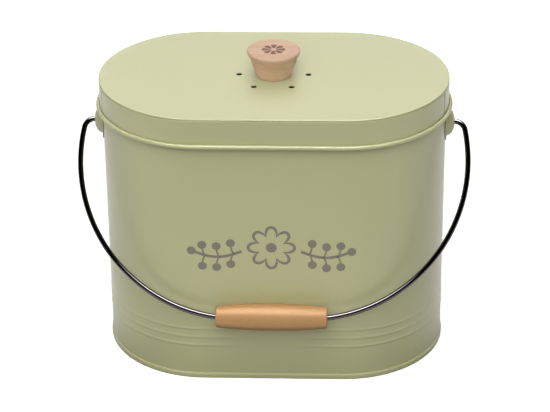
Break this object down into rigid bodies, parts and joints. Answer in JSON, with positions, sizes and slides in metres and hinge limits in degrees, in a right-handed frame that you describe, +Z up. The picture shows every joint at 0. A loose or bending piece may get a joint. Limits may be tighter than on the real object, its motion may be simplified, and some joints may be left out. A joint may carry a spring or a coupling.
{
  "type": "kitchen compost bin",
  "caption": "Stadium-plan steel kitchen compost bin with a loose vented lid, turned wooden knob, filter under the lid and a wire bail with a wooden grip.",
  "frame": {"origin": "on the floor, at the middle of the footprint that the bin has with its bail hanging down in front", "axes": "+X along the long side to the right as seen from the front, +Y to the back, +Z up"},
  "size_m": [0.2936, 0.177, 0.2379],
  "materials": {
    "green_paint": "satin powder coat",
    "bail_steel": "polished wire",
    "grip_wood": "turned beech, lightly sealed",
    "knob_wood": "turned beech, lightly sealed",
    "insert_brass": "machined",
    "fastener_steel": "zinc plated",
    "cover_plastic": "moulded, fine grain",
    "filter_felt": "carbon felt"
  },
  "bodies": {
    "bucket": {"bucket_wall": "green_paint", "bucket_base": "green_paint", "ear_left": "green_paint", "ear_right": "green_paint"},
    "bail": {"bail_wire": "bail_steel"},
    "grip": {"bail_grip": "grip_wood"},
    "lid": {"lid_panel": "green_paint", "lid_skirt": "green_paint", "knob": "knob_wood", "knob_insert": "insert_brass", "knob_screw": "fastener_steel", "screw_washer": "fastener_steel", "filter_spacer": "fastener_steel", "filter_cover": "cover_plastic", "carbon_filter": "filter_felt"}
  },
  "joints": [
    {"name": "bail_swing", "type": "hinge", "parent": "bucket", "child": "bail", "pos_m": [0, 0.00785, 0.1802], "axis": [-1, 0, 0], "range_deg": [0, 288]},
    {"name": "grip_spin", "type": "hinge", "parent": "bail", "child": "grip", "pos_m": [0, -0.07855, 0.06004], "axis": [1, 0, 0], "continuous": true},
    {"name": "lid_lift", "type": "slide", "parent": "bucket", "child": "lid", "axis": [0, 0, 1], "range_m": [0, 0.1]}
  ]
}
